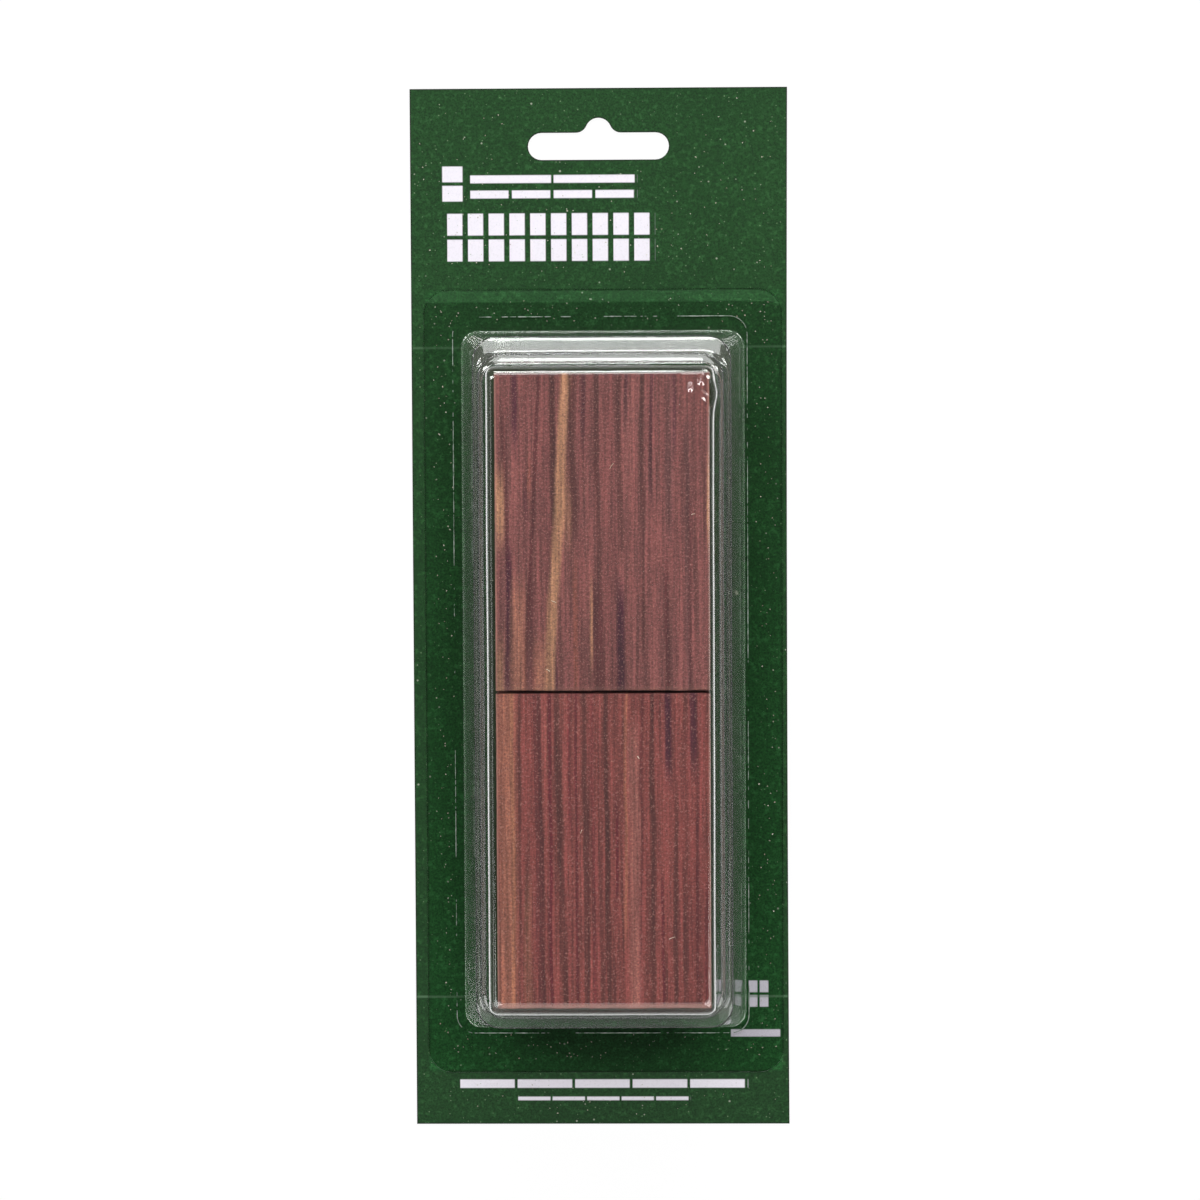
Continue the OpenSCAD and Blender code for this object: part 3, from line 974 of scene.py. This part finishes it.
# Card: printed green board, cut with its hang slot. Outlines are in millimetres.
card = {
    "thickness": 0.6 * mm,
    "grid": 5.0,
    "bow": 0.30,               # how far the right edge is cut in at its middle
    "curl": 0.45 * mm,         # how far the hanging end lifts
    "curlFrom": 78.0,
    "rim": 0.42,
    "slotHalf": 17.2, "slotY": 113.15, "slotRound": 3.3,
    "humpRound": 3.2, "humpTop": 120.05, "humpFillet": 2.8,
    "capSteps": 12, "filletSteps": 6, "longSteps": 48, "shortSteps": 16,
}


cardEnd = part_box("card")[1].y / mm


# The slot: a bar with round ends, and a hump over its middle with a fillet at each foot
def slotOutline(settings, grow=0.0):
    r = settings["slotRound"] + grow
    half = settings["slotHalf"] - settings["slotRound"]
    y = settings["slotY"]
    caps, fillets = settings["capSteps"], settings["filletSteps"]
    points = []
    for side, begin in ((-half, 90), (half, -90)):
        for i in range(caps + 1):
            a = math.radians(begin + 180 * i / caps)
            points.append((side + r * math.cos(a), y + r * math.sin(a)))
    humpR = settings["humpRound"] + grow
    humpY = settings["humpTop"] - settings["humpRound"]
    fillet = settings["humpFillet"] - grow
    level = y + r + fillet
    reach = humpR + fillet
    across = math.sqrt(max(0, reach ** 2 - (level - humpY) ** 2))
    turn = (math.atan2(humpY - level, -across) + 2 * math.pi) % (2 * math.pi) - math.radians(270)
    bends = [math.radians(-90) + turn * i / fillets for i in range(fillets + 1)]
    points += [(across + fillet * math.cos(a), level + fillet * math.sin(a)) for a in bends]
    begin = math.atan2(level - humpY, across)
    for i in range(1, caps):
        a = begin + (math.pi - 2 * begin) * i / caps
        points.append((humpR * math.cos(a), humpY + humpR * math.sin(a)))
    points += [(-across - fillet * math.cos(a), level + fillet * math.sin(a)) for a in reversed(bends)]
    return points


def cardOutline(halfW, halfL, settings, inset=0.0):
    w, l = halfW - inset, halfL - inset
    longSteps, shortSteps = settings["longSteps"], settings["shortSteps"]
    points = []
    for i in range(longSteps):
        y = -l + 2 * l * i / longSteps
        points.append((w - settings["bow"] * (1 - (y / l) ** 2), y))
    points += [(w - 2 * w * i / shortSteps, l) for i in range(shortSteps)]
    points += [(-w, l - 2 * l * i / longSteps) for i in range(longSteps)]
    points += [(-w + 2 * w * i / shortSteps, -l) for i in range(shortSteps)]
    return points


def insideOutline(x, y, outline):
    within = False
    for (x1, y1), (x2, y2) in zip(outline, outline[1:] + outline[:1]):
        if (y1 > y) != (y2 > y) and x < (x2 - x1) * (y - y1) / (y2 - y1) + x1:
            within = not within
    return within


# How far the card's hanging end has lifted at Y, which is in millimetres
def curlAt(y):
    past = max(0.0, y - card["curlFrom"]) / (cardEnd - card["curlFrom"])
    return card["curl"] * past ** 2


def makeCard(settings):
    low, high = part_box("card")
    halfW, halfL = high.x / mm, high.y / mm
    rim = settings["rim"]
    loops = [
        cardOutline(halfW, halfL, settings), cardOutline(halfW, halfL, settings, rim),
        slotOutline(settings), slotOutline(settings, rim),
    ]
    points, edges = [], []
    for loop in loops:
        start = len(points)
        points += loop
        edges += [(start + i, start + (i + 1) % len(loop)) for i in range(len(loop))]
    step = settings["grid"]
    y = -halfL + step / 2
    row = 0
    while y < halfL - 1:
        x = -halfW + step / 2 + (step / 2 if row % 2 else 0)
        while x < halfW - 1:
            if insideOutline(x, y, loops[1]) and not insideOutline(x, y, slotOutline(settings, 1.2)):
                points.append((x, y))
            x += step
        y += step
        row += 1
    flat, _, triangles, _, _, _ = geometry.delaunay_2d_cdt([Vector(p) for p in points], edges, [], 1, 1e-6)
    build = bmesh.new()
    shade = build.verts.layers.float.new("rim")

    edgeSpots = set((round(x, 4), round(y, 4)) for x, y in loops[0] + loops[2])
    sheets = []
    for z in (settings["thickness"], 0.0):
        ring = []
        for p in flat:
            vertex = build.verts.new((p.x * mm, p.y * mm, low.z + z + curlAt(p.y)))
            vertex[shade] = 1.0 if (round(p.x, 4), round(p.y, 4)) in edgeSpots else 0.0
            ring.append(vertex)
        sheets.append(ring)
    board, core, back = 0, 1, 2
    for triangle in triangles:
        x = sum(flat[i].x for i in triangle) / 3
        y = sum(flat[i].y for i in triangle) / 3
        if insideOutline(x, y, loops[2]) or not insideOutline(x, y, loops[0]):
            continue
        build.faces.new([sheets[0][i] for i in triangle]).material_index = board
        build.faces.new([sheets[1][i] for i in reversed(triangle)]).material_index = back
    twin = {a: b for a, b in zip(*sheets)}
    for edge in [e for e in build.edges if [f.material_index for f in e.link_faces] == [board]]:
        loop = edge.link_loops[0]
        a, b = loop.vert, loop.link_loop_next.vert
        build.faces.new((b, a, twin[a], twin[b])).material_index = core
    bmesh.ops.delete(build, geom=[v for v in build.verts if not v.link_faces], context="VERTS")
    mesh = bpy.data.meshes.new("card_board")
    build.to_mesh(mesh)
    build.free()
    for material in (makeBoard(), makeCore(), makeBack()):
        mesh.materials.append(material)
    newPiece("card_board", mesh, "card", ["card"])
    print("cut card", len(mesh.polygons), "faces")


# Rows of plain printed bars: from X, to X, pitch, bar's share, from Y, to Y
printRows = [
    (-38.2, -33.2, 5.0, 1.0, 104.6, 108.4),
    (-38.2, -33.2, 5.0, 1.0, 99.9, 103.7),
    (-31.4, 9.4, 20.4, 0.97, 104.3, 106.2),
    (-31.4, 9.4, 10.2, 0.92, 100.6, 102.5),
    (-37.1, 13.7, 5.08, 0.74, 91.6, 96.9),
    (-37.1, 13.7, 5.08, 0.74, 85.3, 90.6),
    (-35.3, 35.8, 14.2, 0.95, -118.3, -116.2),
    (-21.0, 21.6, 8.52, 0.94, -121.4, -120.5),
    (36.0, 41.2, 2.7, 0.8, -94.6, -91.7),
    (36.0, 41.2, 2.7, 0.8, -98.2, -95.3),
    (31.6, 43.8, 12.2, 1.0, -105.6, -103.8),
]


def makeBarGroup():
    inputs = {
        "Vector": "Vector", "From X": 0.0, "To X": 10.0, "Pitch": 5.0,
        "Share": 0.8, "From Y": 0.0, "To Y": 3.0, "Soft": 0.12,
    }
    tree, given, out = newGroup("printedBars", inputs, ["Mask"])
    parts = splitXYZ(tree, given["Vector"])

    def between(value, low, high):
        soft = given["Soft"]
        rise = spread(tree, value, minus(tree, low, soft), plus(tree, low, soft))
        fall = spread(tree, value, minus(tree, high, soft), plus(tree, high, soft), 1.0, 0.0)
        return times(tree, rise, fall)

    run = minus(tree, parts["X"], given["From X"])
    within = calc(tree, "FLOORED_MODULO", run, given["Pitch"])
    bar = between(within, 0.0, times(tree, given["Pitch"], given["Share"]))
    inRow = between(parts["X"], given["From X"], given["To X"])
    inRow = times(tree, inRow, between(parts["Y"], given["From Y"], given["To Y"]))
    feed(tree, out["Mask"], times(tree, bar, inRow))
    return tree


# Pale specks of dust, scattered by cell
def makeSpeckGroup():
    inputs = {"Vector": "Vector", "Cells": 1.0, "Size": 0.15, "Share": 0.3}
    tree, given, out = newGroup("dustSpecks", inputs, ["Mask"])
    inputs = {"Vector": given["Vector"], "Scale": given["Cells"], "Randomness": 1.0}
    cells = put(tree, "ShaderNodeTexVoronoi", inputs)
    chance = put(tree, "ShaderNodeSeparateColor", {0: cells.outputs["Color"]}).outputs
    kept = calc(tree, "LESS_THAN", chance[0], given["Share"])
    size = times(tree, given["Size"], given["Cells"])
    size = times(tree, size, spread(tree, chance[1], 0.0, 1.0, 0.45, 1.0))
    spot = spread(tree, cells.outputs["Distance"], times(tree, size, 0.5), size, 1.0, 0.0, True)
    feed(tree, out["Mask"], times(tree, spot, kept))
    return tree


speckGroup = makeSpeckGroup()


# Where the flange lies, under which painted light lifts the green, and where the gap round the blocks lies,
# in which painted shade darkens it, as a middle and the half widths between which each fades, in
# millimetres
boardAreas = {
    "flange": {"middle": (0.8, -17.97), "across": (43.0, 43.8), "along": (95.6, 96.4)},
    "gap": {"middle": (0.8, -17.4), "across": (29.5, 36.5), "along": (80.0, 88.0)},
    "folds": ((-95.6, 0.5), (64.2, 0.28)),   # Y and strength
}


def areaMask(tree, parts, area, smooth):
    fades = []
    for axis, middle, fade in zip("XY", area["middle"], (area["across"], area["along"])):
        away = absolute(tree, minus(tree, parts[axis], middle))
        fades.append(spread(tree, away, *fade, 1.0, 0.0, smooth))
    return times(tree, *fades)


def makeBoard():
    material, tree, shader = newMaterial("printedBoard")
    barGroup = makeBarGroup()
    place = millimetresFrom(tree)
    parts = splitXYZ(tree, place)
    cloud = noiseAt(tree, place, 0.03, 3.0)
    grain = noiseAt(tree, place, 2.0, 3.0, 0.75)
    mottle = noiseAt(tree, place, 0.9, 4.0, 0.65)
    colour = blendColour(tree, spread(tree, cloud, 0.3, 0.7), srgb(17, 57, 20), srgb(25, 66, 27))
    footwards = spread(tree, parts["Y"], -127.0, 127.0, 0.4, 0.0)
    colour = blendColour(tree, footwards, colour, srgb(20, 58, 25))
    colour = blendColour(tree, spread(tree, grain, 0.40, 0.62, 0.0, 0.9), colour, srgb(8, 38, 12))
    colour = blendColour(tree, spread(tree, mottle, 0.53, 0.68, 0.0, 0.55), colour, srgb(44, 90, 46))

    # Painted light: the green is lifted under the blister's flange, most of all towards the foot, to
    # lighten the shade that the sheet and the blocks cast there
    flangeLightArea = areaMask(tree, parts, boardAreas["flange"], False)
    flangeLightAmount = times(tree, flangeLightArea, spread(tree, parts["Y"], 70.0, -105.0, 0.3, 1.0))
    flangeLightColour = blendColour(tree, flangeLightAmount, (1.0, 1.0, 1.0, 1.0), (1.6, 2.0, 2.0, 1.0))
    colour = blendColour(tree, 1.0, colour, flangeLightColour, "MULTIPLY")

    # Painted shade darkens the card in the deep gap round the blocks, unevenly mottled
    gapShade = areaMask(tree, parts, boardAreas["gap"], True)
    gapShade = times(tree, gapShade, spread(tree, mottle, 0.35, 0.6, 0.75, 1.0))
    colour = tinted(tree, colour, gapShade, 0.85, srgb(36, 30, 24))

    # Plain generic print, in a pale lilac grey
    ink = None
    for fromX, toX, pitch, share, fromY, toY in printRows:
        mask = useGroup(tree, barGroup, {
            "Vector": place, "From X": fromX, "To X": toX, "Pitch": pitch,
            "Share": share, "From Y": fromY, "To Y": toY,
        })["Mask"]
        ink = mask if ink is None else calc(tree, "MAXIMUM", ink, mask)
    wear = spread(tree, grain, 0.25, 0.5, 0.86, 1.0)
    colour = tinted(tree, colour, ink, wear, srgb(208, 204, 212))

    # Painted highlight along the fold marks that the seal's press left across to the card's edges
    for level, strength in boardAreas["folds"]:
        away = absolute(tree, minus(tree, parts["Y"], level))
        outside = spread(tree, absolute(tree, parts["X"]), 33.0, 35.0)
        line = times(tree, spread(tree, away, 0.12, 0.42, 1.0, 0.0), outside)
        colour = tinted(tree, colour, line, strength, srgb(92, 124, 94))

    specks = useGroup(tree, speckGroup, {"Vector": place, "Cells": 0.42, "Size": 0.34, "Share": 0.32})
    colour = tinted(tree, colour, specks["Mask"], 0.7, srgb(150, 158, 140))
    finer = useGroup(tree, speckGroup, {"Vector": place, "Cells": 0.95, "Size": 0.22, "Share": 0.36})
    colour = tinted(tree, colour, finer["Mask"], 0.6, srgb(112, 138, 104))
    rim = put(tree, "ShaderNodeAttribute", attribute_name="rim").outputs["Fac"]
    colour = blendColour(tree, spread(tree, rim, 0.1, 0.7, 0.0, 0.85), colour, srgb(10, 20, 10))
    paint(tree, shader, colour, spread(tree, grain, 0.3, 0.7, 0.42, 0.6))
    shader.inputs["Specular IOR Level"].default_value = 0.16
    relief = plus(tree, grain, times(tree, ink, 0.4))
    emboss(tree, shader, 0.15, 0.05 * mm, relief)
    return material


def makeCore():
    material, tree, shader = newMaterial("boardEdge")
    fibre = grainAt(tree, millimetresFrom(tree), (1.2, 1.2, 8.0), 3.0, 0.7)
    paint(tree, shader, blendColour(tree, fibre, srgb(24, 44, 26), srgb(118, 120, 104)), 0.85)
    return material


def makeBack():
    material, tree, shader = newMaterial("boardBack")
    place = millimetresFrom(tree)
    fibre = grainAt(tree, place, (1.6, 0.5, 1.0), 4.0, 0.7)
    colour = blendColour(tree, fibre, srgb(178, 174, 162), srgb(202, 199, 188))
    flecks = useGroup(tree, speckGroup, {"Vector": place, "Cells": 0.8, "Size": 0.22, "Share": 0.3})
    colour = tinted(tree, colour, flecks["Mask"], 0.5, srgb(140, 132, 116))
    paint(tree, shader, colour, spread(tree, fibre, 0.3, 0.7, 0.8, 0.92))
    emboss(tree, shader, 0.3, 0.05 * mm, fibre)
    return material


makeCard(card)


# Seal bead: the broken raised line that the sealing press left on the flange
seal = {
    "halfWide": 36.0, "halfLong": 88.15, "middle": (0.1, -16.45), "corner": 4.4,
    "radius": 0.16 * mm, "step": 0.5 * mm,
}


def makeStrandTree():
    inputs = {
        "Geometry": "Geometry", "Radius": 0.15 * mm, "Step": 0.5 * mm,
        "Breaks": 1.0, "Seed": 0.0, "Coat": "Material",
    }
    tree, given, out = newGroup("strandAlongPath", inputs, ["Geometry"], "GeometryNodeTree")
    curve = put(tree, "GeometryNodeMeshToCurve", {"Mesh": given["Geometry"]})
    inputs = {"Curve": curve.outputs[0], "Length": given["Step"]}
    even = put(tree, "GeometryNodeResampleCurve", inputs, mode="LENGTH")
    steps = put(tree, "GeometryNodeCurveToMesh", {"Curve": even.outputs[0]})
    spot = put(tree, "GeometryNodeInputPosition").outputs[0]
    seeded = vectorCalc(tree, "ADD", spot, scaled(tree, (0.31, 0.17, 0.0), given["Seed"]))
    slow = noiseAt(tree, seeded, 70.0, 2.0)
    quick = noiseAt(tree, seeded, 900.0, 1.0)
    kept = plus(tree, spread(tree, slow, 0.38, 0.62, -0.2, 1.0), spread(tree, quick, 0.3, 0.7, -0.5, 0.35))
    kept = plus(tree, times(tree, minus(tree, kept, 1.0), given["Breaks"]), 1.0)
    broken = calc(tree, "LESS_THAN", kept, 0.12)
    inputs = {"Geometry": steps.outputs[0], "Selection": broken}
    trimmed = put(tree, "GeometryNodeDeleteGeometry", inputs, domain="EDGE")
    pieces = put(tree, "GeometryNodeMeshToCurve", {"Mesh": trimmed.outputs[0]})
    width = times(tree, spread(tree, kept, 0.0, 1.0, 0.4, 1.0), given["Radius"])
    sized = put(tree, "GeometryNodeSetCurveRadius", {"Curve": pieces.outputs[0], "Radius": width})
    profile = put(tree, "GeometryNodeCurvePrimitiveCircle", {"Resolution": 6, "Radius": 1.0})
    tube = put(tree, "GeometryNodeCurveToMesh", {
        "Curve": sized.outputs[0], "Profile Curve": profile.outputs["Curve"], "Fill Caps": True,
    })
    feed(tree, tube.inputs["Scale"], put(tree, "GeometryNodeInputRadius").outputs[0])
    deliver(tree, out, tube.outputs[0], given["Coat"])
    return tree


strandTree = makeStrandTree()


def makeSeal(settings):
    halfW, halfL, corner = (settings[name] * mm for name in ("halfWide", "halfLong", "corner"))
    points = roundedRing(halfW, halfL, corner, blister)
    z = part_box("blister")[0].z + blister["sheet"] + settings["radius"] * 0.4
    offset = Vector(settings["middle"]) * mm
    mesh = bpy.data.meshes.new("seal_path")
    verts = [(x + offset.x, y + offset.y, z) for x, y, _ in points]
    mesh.from_pydata(verts, [(i, (i + 1) % len(verts)) for i in range(len(verts))], [])
    values = {"Radius": settings["radius"], "Step": settings["step"], "Breaks": 1.0, "Seed": 3.0}
    values["Coat"] = makeBead()
    newPiece("seal_bead", grown(strandTree, values, mesh), "blister")


def makeBead():
    material, tree, shader = newMaterial("sealBead")
    nick = noiseAt(tree, millimetresFrom(tree), 0.8, 3.0, 0.6)
    colour = blendColour(tree, spread(tree, nick, 0.35, 0.7), srgb(70, 100, 74), srgb(156, 166, 158))
    paint(tree, shader, colour, spread(tree, nick, 0.3, 0.7, 0.2, 0.4))
    return material


makeSeal(seal)
print("seal pressed")

# Sawdust crumbs on the card and the flange, a wood chip under the sheet and a few hairs on the wood
litter = {
    "cardPatches": [
        # low X, low Y, high X, high Y, in millimetres
        (-44, 82, 44, 107), (-44, 107, -22, 125), (22, 107, 44, 125), (-44, -125, 44, -117),
    ],
    "flangePatches": [
        (-41, -111, 43, -105), (-41, -105, -36, 75), (38, -105, 43, 75), (-41, 70, 43, 76),
    ],
    "channelPatches": [
        (-32, -90, -26, 60), (28.5, -90, 33, 60), (-28, 60, 28, 65),
    ],
    "cardCrumbs": 0.035, "flangeCrumbs": 0.09, "channelCrumbs": 0.06,   # for each square millimetre
    "size": 0.17 * mm,
    "chip": (33.1, 4.0), "chipSize": (0.35 * mm, 0.75 * mm, 0.16 * mm), "chipTurn": 0.5,
    "hairs": [
        # X, Y, length, turn in degrees, body
        (-10.2, 4.0, 1.3, -22, "block_front_upper"),
        (-11.7, -12.2, 1.1, -30, "block_front_upper"),
        (3.6, 36.0, 1.6, 55, "block_front_upper"),
        (22.8, 24.6, 0.9, 10, "block_front_upper"),
        (-4.0, -50.6, 1.0, 70, "block_front_lower"),
        (17.4, -76.0, 1.5, 20, "block_front_lower"),
        (9.6, -33.0, 0.8, -60, "block_front_lower"),
    ],
}


def makeCrumbTree():
    inputs = {"Geometry": "Geometry", "Density": 50000.0, "Size": 0.13 * mm, "Seed": 0, "Dust": "Material"}
    tree, given, out = newGroup("sawdustCrumbs", inputs, ["Geometry"], "GeometryNodeTree")
    spots = put(tree, "GeometryNodeDistributePointsOnFaces", {
        "Mesh": given["Geometry"], "Density": given["Density"], "Seed": given["Seed"],
    })
    crumb = put(tree, "GeometryNodeMeshIcoSphere", {"Radius": given["Size"], "Subdivisions": 1})
    turn = put(tree, "FunctionNodeRandomValue", {"Seed": given["Seed"]}, data_type="FLOAT_VECTOR")
    turn.inputs["Max"].default_value = (6.28, 6.28, 6.28)
    grow = put(tree, "FunctionNodeRandomValue", {"Seed": given["Seed"]}, data_type="FLOAT_VECTOR")
    grow.inputs["Min"].default_value = (0.4, 0.4, 0.4)
    grow.inputs["Max"].default_value = (1.5, 1.3, 0.8)
    placed = put(tree, "GeometryNodeInstanceOnPoints", {
        "Points": spots.outputs["Points"], "Instance": crumb.outputs["Mesh"],
        "Rotation": turn.outputs[0], "Scale": grow.outputs[0],
    })
    deliver(tree, out, placed.outputs[0], given["Dust"])
    return tree


def makeDust():
    material, tree, shader = newMaterial("sawdust")
    shade = noiseAt(tree, millimetresFrom(tree), 0.4, 2.0)
    colour = blendColour(tree, spread(tree, shade, 0.35, 0.65), srgb(140, 130, 112), srgb(196, 196, 180))
    paint(tree, shader, colour, 0.85)
    return material


def patchMesh(name, patches, z):
    mesh = bpy.data.meshes.new(name)
    verts, faces = [], []
    for lowX, lowY, highX, highY in patches:
        rows = math.ceil((highY - lowY) / 6)
        for row in range(rows):
            n = len(verts)
            near, far = (lowY + (highY - lowY) * part / rows for part in (row, row + 1))
            corners = ((lowX, near), (highX, near), (highX, far), (lowX, far))
            verts += [(x * mm, y * mm, z + curlAt(y)) for x, y in corners]
            faces.append((n, n + 1, n + 2, n + 3))
    mesh.from_pydata(verts, [], faces)
    return mesh


def makeLitter(settings):
    tree = makeCrumbTree()
    dust = makeDust()
    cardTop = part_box("card")[0].z + card["thickness"]
    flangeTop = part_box("blister")[0].z + blister["sheet"]
    places = [
        ("crumbs_card", "cardPatches", "cardCrumbs", cardTop, "card", "card", 1),
        ("crumbs_channel", "channelPatches", "channelCrumbs", cardTop, "card", "card", 2),
        ("crumbs_flange", "flangePatches", "flangeCrumbs", flangeTop, "blister", "clear_sheet", 3),
    ]
    for name, patches, density, z, body, slot, seed in places:
        mesh = patchMesh(name + "_patch", settings[patches], z + settings["size"] * 0.3)
        values = {"Density": settings[density] / mm ** 2, "Size": settings["size"]}
        values.update({"Seed": seed, "Dust": dust})
        newPiece(name, grown(tree, values, mesh), body)

    build = bmesh.new()
    bmesh.ops.create_icosphere(build, subdivisions=2, radius=1.0)
    chipAt = Vector((settings["chip"][0] * mm, settings["chip"][1] * mm, cardTop + settings["chipSize"][2]))
    for vertex in build.verts:
        rough = 0.8 + 0.4 * noise.noise(vertex.co * 2.3)
        spot = Vector(vertex.co[i] * settings["chipSize"][i] * rough for i in range(3))
        vertex.co = Matrix.Rotation(settings["chipTurn"], 3, "Z") @ spot + chipAt
    mesh = bpy.data.meshes.new("wood_chip")
    build.to_mesh(mesh)
    build.free()
    mesh.materials.append(dust)
    newPiece("wood_chip", mesh, "card")

    hairPoints = 6
    for body in ("block_front_upper", "block_front_lower"):
        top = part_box(body)[1].z
        verts, edges = [], []
        for x, y, length, turn, rider in settings["hairs"]:
            if rider != body:
                continue
            n = len(verts)
            for i in range(hairPoints):
                part = i / (hairPoints - 1) - 0.5
                bent = 0.18 * (0.25 - part * part) * length
                a = math.radians(turn)
                dx = length * part * math.cos(a) - bent * math.sin(a)
                dy = length * part * math.sin(a) + bent * math.cos(a)
                verts.append(((x + dx) * mm, (y + dy) * mm, top + 0.05 * mm))
            edges += [(n + i, n + i + 1) for i in range(hairPoints - 1)]
        mesh = bpy.data.meshes.new("hair_paths")
        mesh.from_pydata(verts, edges, [])
        values = {"Radius": 0.055 * mm, "Step": 0.2 * mm, "Breaks": 0.0, "Seed": 1.0, "Coat": dust}
        newPiece("hairs_" + body, grown(strandTree, values, mesh), body)


makeLitter(litter)
print("dust and hairs laid")
